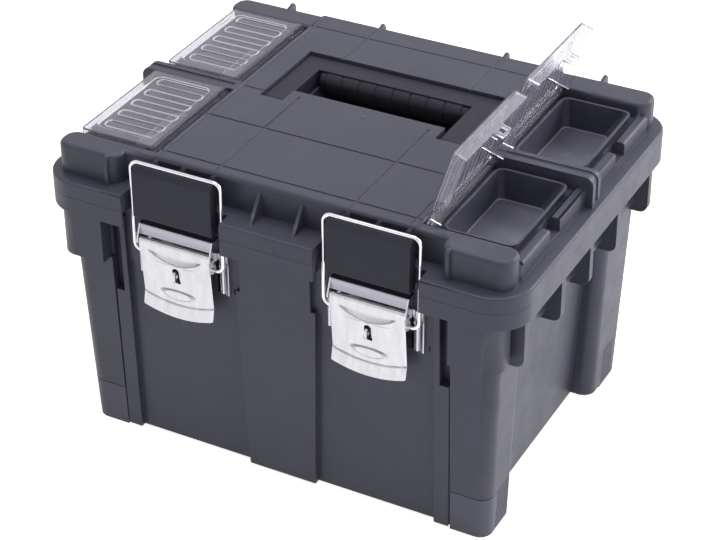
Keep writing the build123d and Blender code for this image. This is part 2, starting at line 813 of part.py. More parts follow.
def make_lever():
    lean = math.tan(math.radians(lever_lean))
    top_y = pivot_y - pivot_roll_radius
    knee_z = pivot_z - lever_length + lever_bottom_bulge + lever_lip_length
    knee_y = top_y + lean * (pivot_z - knee_z)
    low_z = pivot_z - lever_length
    low_y = knee_y - (knee_z - low_z) * 0.14
    profile = [
        (top_y, pivot_z), (knee_y, knee_z), (low_y, low_z),
        (low_y + sheet, low_z), (knee_y + sheet, knee_z), (top_y + sheet, pivot_z),
    ]
    plate = prism_x(profile, latch_x - lever_half, latch_x + lever_half)

    # Lower edge as an arc
    corner_z = low_z + lever_bottom_bulge
    chord = Line((latch_x - lever_half, corner_z), (latch_x + lever_half, corner_z))
    bow = ThreePointArc((latch_x + lever_half, corner_z), (latch_x, low_z), (latch_x - lever_half, corner_z))
    lens = make_face([chord, bow])
    upper = Pos(latch_x, (corner_z + pivot_z + 5) / 2) * Rectangle(lever_width, pivot_z + 5 - corner_z)
    front = Plane(origin=(0, pivot_y - 30, 0), x_dir=(1, 0, 0), z_dir=(0, -1, 0)) * (lens + upper)
    plate &= extrude(front, -60)

    # Slot for the staple and the raised oval
    slot_z = pivot_z - lever_slot_drop
    slot = Plane(origin=(latch_x, pivot_y - 30, slot_z), x_dir=(0, 0, 1), z_dir=(0, -1, 0)) * SlotOverall(
        lever_slot_height, lever_slot_width)
    plate -= extrude(slot, -60)
    oval_z = pivot_z - lever_oval_drop
    oval_y = top_y + lean * (pivot_z - oval_z)
    oval = Plane(origin=(latch_x, oval_y + sheet / 2, oval_z), x_dir=(1, 0, 0), z_dir=(0, -1, 0)) * Ellipse(
        lever_oval_width / 2, lever_oval_height / 2)
    plate += extrude(oval, sheet / 2 + lever_emboss)

    # Rolled top and the cranked sides that hold the wire
    roll = rod_x(latch_x - lever_half, latch_x + lever_half, pivot_y, pivot_z, pivot_roll_radius)
    lever = plate + roll
    for sign in (-1, 1):
        inner, outer = sorted((latch_x + sign * (lever_half - sheet), latch_x + sign * lever_half))
        side = hull_x(
            [(pivot_y, pivot_z, pivot_roll_radius - 0.5), (crank_y, crank_z, crank_lobe_radius),
             (top_y + lean * crank_drop + sheet, crank_z, 1.0)],
            inner, outer,
        )
        lever += side
    bore = pivot_pin_radius + pin_clearance
    lever -= rod_x(latch_x - lever_half - 1, latch_x + lever_half + 1, pivot_y, pivot_z, bore)
    for sign in (-1, 1):
        inner, outer = sorted((latch_x + sign * (lever_half - sheet - 1), latch_x + sign * (lever_half + 1)))
        lever -= rod_x(inner, outer, crank_y, crank_z, wire_radius + pin_clearance)
    return lever


def make_bracket():
    strap_y = pivot_y + strap_back
    low_z = bracket_low_z
    half = bracket_width / 2
    plate = slab(latch_x - half, latch_x + half, plate_front_y, latch_seat_y, low_z, pivot_z)
    plate += slab(latch_x - ear_out, latch_x + ear_out, plate_front_y, latch_seat_y, low_z, strap_z1)
    for sign in (-1, 1):
        inner, outer = sorted((latch_x + sign * ear_in, latch_x + sign * ear_out))
        ear = hull_x(
            [(pivot_y, pivot_z, pivot_roll_radius + 0.6), (strap_y + 0.6, strap_z1 - 0.6, 0.6),
             (plate_front_y, strap_z1 - 0.6, 0.6), (plate_front_y, pivot_z - 5, 0.6)],
            inner, outer,
        )
        plate += ear
        a, b = sorted((latch_x + sign * (half - sheet), latch_x + sign * half))
        plate += slab(a, b, plate_front_y - bracket_lip, latch_seat_y, low_z, pivot_z)
    plate += slab(latch_x - ear_out, latch_x + ear_out, strap_y, strap_y + sheet, strap_z0, strap_z1)
    plate -= rod_x(latch_x - ear_out - 1, latch_x + ear_out + 1, pivot_y, pivot_z, pivot_pin_radius)
    for x, z in rivet_places():
        plate -= rod_y(x, plate_front_y - 1, latch_seat_y + 1, z, rivet_radius)
    return plate


def rivet_places():
    """X and Z of the four rivets of the right hand bracket."""
    z_mid = pivot_z - rivet_spacing_z
    places = []
    for x_step in (-0.5, 0.5):
        for z_step in (-0.5, 0.5):
            places.append((latch_x + x_step * rivet_spacing_x, z_mid + z_step * rivet_spacing_z))
    return places


def make_rivets():
    rivets = Part()
    for x, z in rivet_places():
        head = rod_y(x, plate_front_y - rivet_head_height, plate_front_y, z, rivet_head_radius)
        head = fillet(head.edges().sort_by(Axis.Y)[0], rivet_head_height * 0.6)
        rivets += head + rod_y(x, plate_front_y - 0.1, latch_seat_y, z, rivet_radius)
    return rivets


def make_staple():
    z = pivot_z - lever_slot_drop
    tip_y = plate_front_y - staple_reach
    tongue = slab(latch_x - staple_thickness / 2, latch_x + staple_thickness / 2, tip_y, plate_front_y,
                  z - staple_height / 2, z + staple_height / 2)
    tongue = fillet(tongue.edges().filter_by(Axis.X).sort_by(Axis.Y)[:2], staple_height * 0.3)
    hole_y = tip_y + staple_hole_radius * 2
    return tongue - rod_x(
        latch_x - staple_thickness, latch_x + staple_thickness, hole_y, z, staple_hole_radius,
    )


def bail_plane():
    up = Vector(0, wire_lean, wire_height).normalized()
    normal = Vector(1, 0, 0).cross(up)
    return Plane(origin=(latch_x, crank_y, crank_z), x_dir=(1, 0, 0), z_dir=normal)


def make_bail():
    tip = lever_half - sheet - 0.5
    top = math.hypot(wire_lean, wire_height)
    route = FilletPolyline(
        (tip, 0), (wire_x, 0), (wire_x, top), (-wire_x, top), (-wire_x, 0), (-tip, 0),
        radius=[wire_end_bend, wire_top_bend, wire_top_bend, wire_end_bend],
    )
    path = bail_plane() * route
    start = Plane(origin=path @ 0, z_dir=path % 0)
    return sweep(start * Circle(wire_radius), path=path)


def make_pad():
    """Hook pad inside the wire frame, nested under its crossbar."""
    top = math.hypot(wire_lean, wire_height)
    half = pad_width / 2
    z1 = top - wire_radius + pad_nest
    z0 = z1 - pad_height
    profile = [
        (-pad_front, z0 + 1), (-pad_front, z1 - pad_bevel_height), (-pad_front + pad_bevel_depth, z1),
        (pad_back, z1), (pad_back, z0), (-pad_front + 1, z0),
    ]
    block = prism_x(profile, -half, half)
    tilt = math.degrees(math.atan2(wire_lean, wire_height))
    placed = Pos(latch_x, crank_y, crank_z) * Rot(-tilt, 0, 0) * block
    placed = fillet(placed.edges().filter_by(Axis.X).sort_by(Axis.Y)[:1], edge_round * 0.5)
    return placed - make_bail()


def make_pivot_pin():
    return rod_x(latch_x - ear_out, latch_x + ear_out, pivot_y, pivot_z, pivot_pin_radius)


def make_hinge_pin():
    spans = knuckle_spans()
    return rod_x(spans[0][0], spans[2][1], hinge_y, hinge_z, hinge_pin_radius)


# Output

frame_shift_y = -(hinge_standoff + hinge_knuckle_radius) / 2


def mirrored(shape):
    return mirror(shape, about=Plane.YZ)


def opened(flap):
    """Right hand flap turned up about its hinge."""
    hinge = Pos(flap_hinge_x, 0, flap_hinge_z)
    return hinge * Rot(0, -open_angle, 0) * hinge.inverse() * flap


def save(shape, name):
    export_step(Pos(0, frame_shift_y, 0) * shape, f"parts/{name}.step")


def save_pair(shape, name):
    save(shape, f"{name}_right")
    save(mirrored(shape), f"{name}_left")


def main():
    os.makedirs("parts", exist_ok=True)
    save(make_tub(), "tub")
    save(make_lid(), "lid")
    save(make_handle(), "handle")
    save_pair(make_foot(False), "foot_front")
    save_pair(make_foot(True), "foot_back")
    for (y0, y1), place in zip(bin_spans(), ("front", "back")):
        flap = make_flap(y0, y1)
        save(opened(flap), f"flap_{place}_right")
        save(mirrored(flap), f"flap_{place}_left")
    save_pair(make_lever(), "latch_lever")
    save_pair(make_bracket(), "latch_bracket")
    save_pair(make_pivot_pin(), "latch_pivot_pin")
    save_pair(make_bail(), "latch_bail")
    save_pair(make_pad(), "latch_pad")
    save_pair(make_staple(), "padlock_staple")
    save_pair(make_rivets(), "bracket_rivets")
    save_pair(make_hinge_pin(), "hinge_pin")


main()
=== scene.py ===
import json
import math

import bmesh
import bpy
import numpy as np
from mathutils import Matrix, Vector


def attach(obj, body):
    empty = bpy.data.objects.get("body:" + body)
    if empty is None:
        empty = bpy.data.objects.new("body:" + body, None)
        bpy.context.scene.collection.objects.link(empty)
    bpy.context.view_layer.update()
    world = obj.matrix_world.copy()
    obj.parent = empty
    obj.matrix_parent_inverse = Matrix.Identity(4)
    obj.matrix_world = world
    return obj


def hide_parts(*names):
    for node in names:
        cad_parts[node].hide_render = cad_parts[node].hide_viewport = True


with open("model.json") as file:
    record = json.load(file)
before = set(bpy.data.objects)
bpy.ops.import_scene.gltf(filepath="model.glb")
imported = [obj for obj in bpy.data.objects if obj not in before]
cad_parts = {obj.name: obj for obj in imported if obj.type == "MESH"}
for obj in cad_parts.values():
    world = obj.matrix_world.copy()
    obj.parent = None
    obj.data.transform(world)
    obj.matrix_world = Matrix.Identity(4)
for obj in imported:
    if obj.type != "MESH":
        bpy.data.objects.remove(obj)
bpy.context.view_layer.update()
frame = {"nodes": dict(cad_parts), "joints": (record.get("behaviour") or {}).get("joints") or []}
nodes = frame["nodes"]
joints = {joint["name"]: joint for joint in frame["joints"]}
scene = bpy.context.scene

# Sizes are in millimetres; a shape that is drawn here is scaled to metres at its end.
MM = 0.001
SIDES = ("left", "right")
PLACES = ("front", "back")

# Camera, fitted to the photograph
CAMERA_AT = (0.77043, -1.45987, 1.19588)
CAMERA_RIGHT = (0.884337, 0.466804, -0.006487)
CAMERA_DOWN = (0.249271, -0.483888, -0.838878)
CAMERA_FORWARD = (-0.394730, 0.740234, -0.544281)
SENSOR_WIDTH = 36.0
PHOTO_WIDTH = 716
FOCAL_PIXELS = 2163.18

# Colours, linear
BOX_COLOUR = (0.060, 0.060, 0.082)
FOOT_COLOUR = (0.105, 0.105, 0.135)
HANDLE_COLOUR = (0.022, 0.022, 0.029)
PAD_COLOUR = (0.019, 0.019, 0.027)
# Bin floors and gate mark more than twice as light as the box: painted reflection
SMOOTH_PAINTED_LIGHT_COLOUR = (0.135, 0.135, 0.172)
# Pale sloped strips round the bin floors: painted highlight
STRIP_HIGHLIGHT_COLOUR = (0.30, 0.30, 0.36)
STEEL_COLOUR = (0.62, 0.62, 0.65)
# Darker steel mixed into the lever's pressed slopes and creases: painted shade
STEEL_PAINTED_SHADE = (0.16, 0.16, 0.19)
# Strap steel darker than the lever's: painted shade for its darker reflection
STRAP_PAINTED_SHADE_COLOUR = (0.40, 0.40, 0.46)
WIRE_COLOUR = (0.80, 0.80, 0.83)
PIN_COLOUR = (0.42, 0.42, 0.45)
CLEAR_COLOUR = (0.84, 0.84, 0.90)
FROST_COLOUR = (0.86, 0.86, 0.90)
# Pale, less clear plastic on the rib and panel lines: painted highlight
RIDGE_HIGHLIGHT_COLOUR = (0.93, 0.93, 0.97)
PLASTIC_GLOSS_TINT = (0.82, 0.82, 1.0, 1.0)


# Mesh helpers

SHARP_ANGLE = 32
BEVEL_ANGLE = 28
BEVEL_SEGMENTS = 2
NORMAL_WEIGHT = 90
BROAD_WIDTH = 4.0


def new_object(name, bm):
    """A scene object from a bmesh, which is used up."""
    mesh = bpy.data.meshes.new(name)
    bm.to_mesh(mesh)
    bm.free()
    obj = bpy.data.objects.new(name, mesh)
    scene.collection.objects.link(obj)
    return obj


def settle(obj):
    """Turns an object's modifiers into plain mesh."""
    bpy.context.view_layer.update()
    graph = bpy.context.evaluated_depsgraph_get()
    mesh = bpy.data.meshes.new_from_object(obj.evaluated_get(graph))
    obj.modifiers.clear()
    obj.data = mesh


def boolean(obj, other, operation):
    """Joins or cuts a mesh with another, which is used up."""
    cut = obj.modifiers.new(operation, "BOOLEAN")
    cut.operation = operation
    cut.solver = "EXACT"
    cut.object = other
    settle(obj)
    bpy.data.objects.remove(other)


def join(obj, others):
    """Adds other meshes to one object without cutting them."""
    bm = bmesh.new()
    bm.from_mesh(obj.data)
    for other in others:
        bm.from_mesh(other.data)
        bpy.data.objects.remove(other)
    bm.to_mesh(obj.data)
    bm.free()


def smooth(obj, degrees=SHARP_ANGLE):
    """Smooth shading that keeps edges sharper than an angle."""
    for polygon in obj.data.polygons:
        polygon.use_smooth = True
    obj.data.set_sharp_from_angle(angle=math.radians(degrees))


def soften(obj, width):
    """Small rounding of all sharp edges."""
    bevel = obj.modifiers.new("soft_edges", "BEVEL")
    bevel.width = width * MM
    bevel.segments = BEVEL_SEGMENTS
    bevel.limit_method = "ANGLE"
    bevel.angle_limit = math.radians(BEVEL_ANGLE)
    bevel.use_clamp_overlap = True
    even = obj.modifiers.new("even_normals", "WEIGHTED_NORMAL")
    even.keep_sharp = True
    even.weight = NORMAL_WEIGHT


def loops_round(vert):
    """The face corners at a vertex, in groups that no sharp edge parts."""
    left = set(vert.link_loops)
    while left:
        group = [left.pop()]
        for loop in group:
            for edge in (loop.edge, loop.link_loop_prev.edge):
                if not edge.smooth:
                    continue
                for face in edge.link_faces:
                    other = next(corner for corner in face.loops if corner.vert == vert)
                    if other in left:
                        left.remove(other)
                        group.append(other)
        yield group


def even_normals(obj):
    """Broad faces are shaded flat, and narrow ones bend from one broad face to the next."""
    bm = bmesh.new()
    bm.from_mesh(obj.data)
    broad = {}
    start = {}
    for face in bm.faces:
        around = sum(edge.calc_length() for edge in face.edges)
        broad[face] = 2 * face.calc_area() > BROAD_WIDTH * MM * around
        first = obj.data.polygons[face.index].loop_start
        for place, loop in enumerate(face.loops):
            start[loop] = first + place
    normals = [(0, 0, 0)] * len(obj.data.loops)
    for vert in bm.verts:
        for group in loops_round(vert):
            wide = [loop.face for loop in group if broad[loop.face]]
            total = Vector((0, 0, 0))
            if wide:
                for face in wide:
                    total += face.normal * face.calc_area()
            else:
                for loop in group:
                    total += loop.face.normal * loop.calc_angle()
            for loop in group:
                normals[start[loop]] = loop.face.normal if broad[loop.face] else total.normalized()
    bm.free()
    obj.data.normals_split_custom_set([tuple(normal) for normal in normals])


def arc(centre, radius, start, stop, steps=6):
    """Points on part of an ellipse; radius is one number or two, angles are in degrees."""
    across, up = radius if isinstance(radius, tuple) else (radius, radius)
    points = []
    for step in range(steps + 1):
        turn = math.radians(start + (stop - start) * step / steps)
        points.append((centre[0] + across * math.cos(turn), centre[1] + up * math.sin(turn)))
    return points


def prism(name, outline, low, high, plane):
    """Solid between two levels over an outline; plane names the outline's axes."""
    order = {"xy": (0, 1, 2), "xz": (0, 2, 1), "yz": (1, 2, 0)}[plane]
    bm = bmesh.new()
    rings = []
    for level in (low, high):
        ring = []
        for a, b in outline:
            point = [0.0, 0.0, 0.0]
            point[order[0]] = a
            point[order[1]] = b
            point[order[2]] = level
            ring.append(bm.verts.new(point))
        rings.append(ring)
    count = len(outline)
    for k in range(count):
        n = (k + 1) % count
        bm.faces.new((rings[0][k], rings[0][n], rings[1][n], rings[1][k]))
    bm.faces.new(rings[0])
    bm.faces.new(rings[1])
    bmesh.ops.recalc_face_normals(bm, faces=bm.faces)
    return new_object(name, bm)


def rounded_outline(x0, x1, y0, y1, radius):
    """Rectangle with round corners, as points."""
    points = []
    corners = ((x1, y1, 0), (x0, y1, 90), (x0, y0, 180), (x1, y0, 270))
    for x, y, start in corners:
        cx = x - radius if x == x1 else x + radius
        cy = y - radius if y == y1 else y + radius
        points += arc((cx, cy), radius, start, start + 90)
    return points


def rod(name, start, end, radius, chamfer, steps):
    """Round rod between two points with broken edges."""
    start, end = Vector(start), Vector(end)
    length = (end - start).length
    turn = (end - start).to_track_quat("Z", "Y").to_matrix().to_4x4()
    place = Matrix.Translation(start) @ turn
    bm = bmesh.new()
    rings = []
    small = radius - chamfer
    for level, size in ((0, small), (chamfer, radius), (length - chamfer, radius), (length, small)):
        ring = []
        for step in range(steps):
            angle = 2 * math.pi * step / steps
            ring.append(bm.verts.new(place @ Vector((size * math.cos(angle), size * math.sin(angle), level))))
        rings.append(ring)
    for low, high in zip(rings, rings[1:]):
        for k in range(steps):
            n = (k + 1) % steps
            bm.faces.new((low[k], low[n], high[n], high[k]))
    bm.faces.new(rings[0])
    bm.faces.new(rings[-1])
    bmesh.ops.recalc_face_normals(bm, faces=bm.faces)
    return new_object(name, bm)


def sheet_profile(name, points, thickness, x0, x1):
    """Bent sheet: a line of (y, z) points with a thickness, drawn out along X."""
    count = len(points)
    offsets = []
    for k in range(count):
        before = Vector(points[max(k - 1, 0)])
        after = Vector(points[min(k + 1, count - 1)])
        along = (after - before).normalized()
        offsets.append(Vector((along.y, -along.x)) * thickness)
    outline = list(points) + [tuple(Vector(points[k]) + offsets[k]) for k in reversed(range(count))]
    return prism(name, outline, x0, x1, "yz")


def path_distance(x, y, path):
    """Distance of grid points from a line of points."""
    best = np.full(x.shape, 1e9)
    for (ax, ay), (bx, by) in zip(path, path[1:]):
        dx, dy = bx - ax, by - ay
        length = max(dx * dx + dy * dy, 1e-12)
        t = np.clip(((x - ax) * dx + (y - ay) * dy) / length, 0, 1)
        best = np.minimum(best, np.hypot(x - ax - t * dx, y - ay - t * dy))
    return best


def ramp(value, low, high):
    """Soft step from 0 at low to 1 at high."""
    t = np.clip((value - low) / (high - low), 0, 1)
    return t * t * (3 - 2 * t)


# Materials

class Nodes:
    """Short calls for making a material's nodes."""

    def __init__(self, name):
        self.material = bpy.data.materials.new(name)
        self.material.use_nodes = True
        self.tree = self.material.node_tree
        self.tree.nodes.clear()

    def add(self, kind, **values):
        node = self.tree.nodes.new("ShaderNode" + kind)
        for key, value in values.items():
            if key in node.inputs:
                node.inputs[key].default_value = value
            else:
                setattr(node, key, value)
        return node

    def link(self, source, target):
        self.tree.links.new(source, target)

    def object_place(self, stretch=(1, 1, 1)):
        place = self.add("TexCoord")
        scale = self.add("Mapping")
        scale.inputs["Scale"].default_value = stretch
        self.link(place.outputs["Object"], scale.inputs["Vector"])
        return scale.outputs["Vector"]

    def noise(self, scale, detail=3.0, stretch=(1, 1, 1)):
        node = self.add("TexNoise", Scale=scale, Detail=detail, Roughness=0.6)
        self.link(self.object_place(stretch), node.inputs["Vector"])
        return node.outputs["Fac"]

    def span(self, value, low, high, start=0.3, stop=0.7):
        node = self.add("MapRange")
        node.inputs["From Min"].default_value = start
        node.inputs["From Max"].default_value = stop
        node.inputs["To Min"].default_value = low
        node.inputs["To Max"].default_value = high
        self.link(value, node.inputs["Value"])
        return node.outputs["Result"]

    def mix(self, factor, first, second):
        node = self.add("Mix", data_type="RGBA")
        self.link(factor, node.inputs["Factor"])
        for socket, colour in ((node.inputs[6], first), (node.inputs[7], second)):
            if isinstance(colour, tuple):
                socket.default_value = (*colour, 1)
            else:
                self.link(colour, socket)
        return node.outputs[2]

    def times(self, first, second):
        node = self.add("Math", operation="MULTIPLY")
        self.link(first, node.inputs[0])
        if isinstance(second, float):
            node.inputs[1].default_value = second
        else:
            self.link(second, node.inputs[1])
        return node.outputs["Value"]

    def edges(self, radius):
        """Mask of the edges, from how far a rounded normal leaves the true one."""
        soft = self.add("Bevel", samples=6)
        soft.inputs["Radius"].default_value = radius
        true = self.add("NewGeometry")
        dot = self.add("VectorMath", operation="DOT_PRODUCT")
        self.link(soft.outputs["Normal"], dot.inputs[0])
        self.link(true.outputs["Normal"], dot.inputs[1])
        return self.span(dot.outputs["Value"], 1.0, 0.0, 0.88, 0.995)

    def bump(self, height, strength, distance, under=None):
        node = self.add("Bump", Strength=strength, Distance=distance)
        self.link(height, node.inputs["Height"])
        if under:
            self.link(under, node.inputs["Normal"])
        return node.outputs["Normal"]

    def finish(self, shader):
        output = self.add("OutputMaterial")
        self.link(shader.outputs["BSDF"], output.inputs["Surface"])
        return self.material


def shifted(colour, factor):
    """A lighter or darker colour."""
    return tuple(min(channel * factor, 1.0) for channel in colour)


# Paler edges in patches: a painted highlight
EDGE_HIGHLIGHT_RADIUS = 0.0012
EDGE_HIGHLIGHT_LIGHT = 1.9
EDGE_HIGHLIGHT_SHARE = 0.75
EDGE_ROUND_RADIUS = 0.0007
PLASTIC_BEND = 1.48
CLEAR_BEND = 1.46
THIN_BEND = 1.12


def plastic(name, colour, roughness, grain=900.0, grain_strength=0.16, gloss=0.5):
    """Satin moulded plastic: fine grain, faint clouding, scuffed gloss, and edges made paler in patches as a
    painted highlight.
    """
    n = Nodes(name)
    shader = n.add("BsdfPrincipled")
    shader.inputs["IOR"].default_value = PLASTIC_BEND
    shader.inputs["Specular Tint"].default_value = PLASTIC_GLOSS_TINT
    shader.inputs["Specular IOR Level"].default_value = gloss
    cloud = n.noise(14.0)
    fleck = n.noise(420.0, 2.0)
    body = n.mix(n.span(cloud, 0.0, 1.0), shifted(colour, 0.90), shifted(colour, 1.10))
    body = n.mix(n.span(fleck, 0.0, 0.35), body, shifted(colour, 1.25))
    # Painted highlight: edges lightened where the noise lets it through
    edge_highlight = n.times(n.edges(EDGE_HIGHLIGHT_RADIUS), n.span(n.noise(70.0), 0.35, 1.0))
    body = n.mix(n.times(edge_highlight, EDGE_HIGHLIGHT_SHARE), body, shifted(colour, EDGE_HIGHLIGHT_LIGHT))
    n.link(body, shader.inputs["Base Color"])
    n.link(n.span(n.noise(46.0, 5.0), roughness - 0.05, roughness + 0.06), shader.inputs["Roughness"])
    rounded = n.add("Bevel", samples=4)
    rounded.inputs["Radius"].default_value = EDGE_ROUND_RADIUS
    surface = n.bump(n.noise(grain, 3.0), grain_strength, 0.00025, rounded.outputs["Normal"])
    n.link(surface, shader.inputs["Normal"])
    return n.finish(shader)


def plated_steel(name, colour, shade, roughness, streak=(1.0, 1.0, 1.0)):
    """Bright plated steel: faint streaks, soft waves, and painted shade on pressed slopes and creases, from
    the painted_shade attribute.
    """
    n = Nodes(name)
    shader = n.add("BsdfPrincipled", Metallic=1.0)
    painted_shade = n.add("Attribute", attribute_name="painted_shade")
    lines = n.noise(160.0, 5.0, streak)
    body = n.mix(n.span(lines, 0.0, 1.0), shifted(colour, 0.90), shifted(colour, 1.06))
    # Painted shade: the darker colour is mixed in where the painted_shade attribute is high
    body = n.mix(painted_shade.outputs["Fac"], body, shade)
    n.link(body, shader.inputs["Base Color"])
    gloss = n.span(n.noise(90.0, 4.0, streak), roughness - 0.06, roughness + 0.08)
    n.link(gloss, shader.inputs["Roughness"])
    n.link(n.bump(n.noise(60.0, 2.0), 0.06, 0.0004), shader.inputs["Normal"])
    return n.finish(shader)


def clear_plastic(name, colour, clearness, low, high, bend=CLEAR_BEND):
    """Clear plastic, a little milky, with faint flow marks."""
    n = Nodes(name)
    shader = n.add("BsdfPrincipled")
    shader.inputs["Base Color"].default_value = (*colour, 1)
    shader.inputs["Transmission Weight"].default_value = clearness
    shader.inputs["IOR"].default_value = bend
    shader.inputs["Specular Tint"].default_value = PLASTIC_GLOSS_TINT
    n.link(n.span(n.noise(120.0, 4.0), low, high), shader.inputs["Roughness"])
    n.link(n.bump(n.noise(70.0, 2.0), 0.02, 0.0003), shader.inputs["Normal"])
    return n.finish(shader)


box_plastic = plastic("box_plastic_grain", BOX_COLOUR, 0.44)
foot_plastic = plastic("foot_plastic_grain", FOOT_COLOUR, 0.50, grain=1100.0)
handle_plastic = plastic("handle_plastic_grain", HANDLE_COLOUR, 0.50, grain=1200.0, gloss=0.36)
pad_plastic = plastic("pad_plastic_grain", PAD_COLOUR, 0.44, grain=1300.0, gloss=0.36)
# Pale plastic for the strips round the bin floors: painted highlight
strip_highlight_plastic = plastic("box_plastic_strip_highlight", STRIP_HIGHLIGHT_COLOUR, 0.3, grain_strength=0.05)
# Lighter plastic: painted reflection on the bin floors and the gate mark
smooth_plastic_painted_light = plastic("box_plastic_smooth_painted_light", SMOOTH_PAINTED_LIGHT_COLOUR, 0.22, grain_strength=0.05)
steel = plated_steel("plated_steel_sheet", STEEL_COLOUR, STEEL_PAINTED_SHADE, 0.24, (1.0, 1.0, 0.25))
# Darker strap steel: painted shade
strap_steel = plated_steel("plated_steel_strap", STRAP_PAINTED_SHADE_COLOUR, STEEL_PAINTED_SHADE, 0.34, (0.08, 1.0, 3.0))
wire_steel = plated_steel("plated_wire_round", WIRE_COLOUR, STEEL_PAINTED_SHADE, 0.16)
pin_steel = plated_steel("pin_steel_drawn", PIN_COLOUR, STEEL_PAINTED_SHADE, 0.32)
clear = clear_plastic("clear_plastic_polished", CLEAR_COLOUR, 0.94, 0.01, 0.03)
frosted = clear_plastic("clear_plastic_frosted", FROST_COLOUR, 0.86, 0.06, 0.16)
# Rib and panel lines: painted highlight
ridge_highlight = clear_plastic("clear_plastic_ridge_highlight", RIDGE_HIGHLIGHT_COLOUR, 0.45, 0.10, 0.20)
thin_clear = clear_plastic("clear_plastic_thin", CLEAR_COLOUR, 0.97, 0.01, 0.03, THIN_BEND)


def dress(obj, material):
    """Gives an object one material."""
    obj.data.materials.clear()
    obj.data.materials.append(material)


def place(obj, body, slot, *replaced):
    """Puts a finished piece on its body in place of CAD nodes."""
    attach(obj, body)
    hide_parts(*replaced)


# Moulded pieces: the CAD shapes with soft edges

WELD = 0.002
FLAT_ANGLE = 0.5
HANDLE_SOFT = 0.8
FOOT_SOFT = 0.5
PAD_SOFT = 1.2
FIN_SOFT = 0.5
BIN_LEVEL = 253.0
BIN_SPAN = (135.0, 190.0)
FLOOR_AREA = 100.0
LEVEL_NORMAL = 0.9
SLOPE_NORMAL = 0.4
STRIP_WIDTH = 0.9
STRIP_RISE = 0.8
FIN_PLACES = (-160.0, -63.5, 63.5, 160.0)
FIN_HALF = 1.6
FIN_BACK = 161.2
FIN_TOP = 289.0
FIN_LENGTH = 14.0
FIN_HEIGHT = 30.0
FIN_SLOPE = 2.5
FIN_ROUND = (4.0, 6.0)
GATE_AT = (2.7, -8.8, 288.5)
GATE_RADIUS = 1.4
GATE_FLATNESS = 0.7
FOOT_TOP = 0.5
FOOT_SEAM = 0.9


def in_bin(centre):
    """Whether a place on the lid lies at the bottom of a bin."""
    return BIN_SPAN[0] * MM < abs(centre.x) < BIN_SPAN[1] * MM and centre.z < BIN_LEVEL * MM


def is_bin_floor(normal, area, centre):
    """Whether a face of the lid is the level floor of a bin."""
    return normal.z > LEVEL_NORMAL and area > FLOOR_AREA * MM * MM and in_bin(centre)


def strip_bin_floors(bm):
    """A narrow sloped strip between each bin's floor and its walls."""
    floors = []
    for face in bm.faces:
        if is_bin_floor(face.normal, face.calc_area(), face.calc_center_median()):
            floors.append(face)
    inset = bmesh.ops.inset_region(bm, faces=floors, thickness=STRIP_WIDTH * MM, use_even_offset=True)
    inner = {vert for face in floors for vert in face.verts}
    for vert in {vert for face in inset["faces"] for vert in face.verts} - inner:
        vert.co.z += STRIP_RISE * MM


def soft_copy(node, body, slot, material, width=0, detail=None):
    """A CAD piece with soft edges, or only evenly shaded ones where no width is given."""
    bm = bmesh.new()
    bm.from_mesh(nodes[node].data)
    bmesh.ops.remove_doubles(bm, verts=bm.verts, dist=WELD * MM)
    bmesh.ops.dissolve_limit(bm, angle_limit=math.radians(FLAT_ANGLE), verts=bm.verts, edges=bm.edges)
    if detail:
        detail(bm)
    obj = new_object(node + "_moulded", bm)
    smooth(obj)
    if width:
        soften(obj, width)
    else:
        even_normals(obj)
    dress(obj, material)
    place(obj, body, slot, node)
    return obj


soft_copy("tub", "tub", "box_plastic", box_plastic)
lid = soft_copy("lid", "lid", "box_plastic", box_plastic, detail=strip_bin_floors)
lid.data.materials.append(smooth_plastic_painted_light)
# Pale plastic on the sloped strips round the bin floors: painted highlight
lid.data.materials.append(strip_highlight_plastic)
# Bin floors get the lighter plastic as a painted reflection
for polygon in lid.data.polygons:
    if is_bin_floor(polygon.normal, polygon.area, polygon.center):
        polygon.material_index = 1
    elif in_bin(polygon.center) and SLOPE_NORMAL < polygon.normal.z < LEVEL_NORMAL:
        polygon.material_index = 2

# Fins behind the lid's raised back end
fins = []
for x in FIN_PLACES:
    front, foot = FIN_BACK - FIN_LENGTH, FIN_TOP - FIN_HEIGHT
    outline = [(front, foot), (FIN_BACK, foot)]
    outline += arc((FIN_BACK - FIN_ROUND[0], FIN_TOP - FIN_ROUND[1]), FIN_ROUND, 0, 90)
    outline.append((front, FIN_TOP - FIN_SLOPE))
    fins.append(prism("fin", outline, x - FIN_HALF, x + FIN_HALF, "yz"))
lid_fins = fins.pop(0)
join(lid_fins, fins)
lid_fins.name = "lid_fins"
lid_fins.data.transform(Matrix.Scale(MM, 4))
smooth(lid_fins)
soften(lid_fins, FIN_SOFT)
dress(lid_fins, box_plastic)
place(lid_fins, "lid", "box_plastic")

# Moulding gate mark on the lid
bm = bmesh.new()
bmesh.ops.create_uvsphere(bm, u_segments=20, v_segments=10, radius=GATE_RADIUS * MM)
gate_mark = new_object("lid_gate_mark", bm)
gate_mark.data.transform(Matrix.Translation(Vector(GATE_AT) * MM) @ Matrix.Diagonal((1, 1, GATE_FLATNESS, 1)))
smooth(gate_mark)
# The lighter plastic is painted light that brightens the mark's glint
dress(gate_mark, smooth_plastic_painted_light)
place(gate_mark, "lid", "box_plastic")

soft_copy("handle", "handle", "handle_plastic", handle_plastic, HANDLE_SOFT)
for side in SIDES:
    for spot in PLACES:
        foot = soft_copy(f"foot_{spot}_{side}", "tub", "foot_plastic", foot_plastic, FOOT_SOFT)
        top = max(vert.co.z for vert in foot.data.vertices)
        for vert in foot.data.vertices:
            if vert.co.z > top - FOOT_TOP * MM:
                vert.co.z -= FOOT_SEAM * MM
    soft_copy(f"latch_pad_{side}", f"bail_{side}", "pad_plastic", pad_plastic, PAD_SOFT)

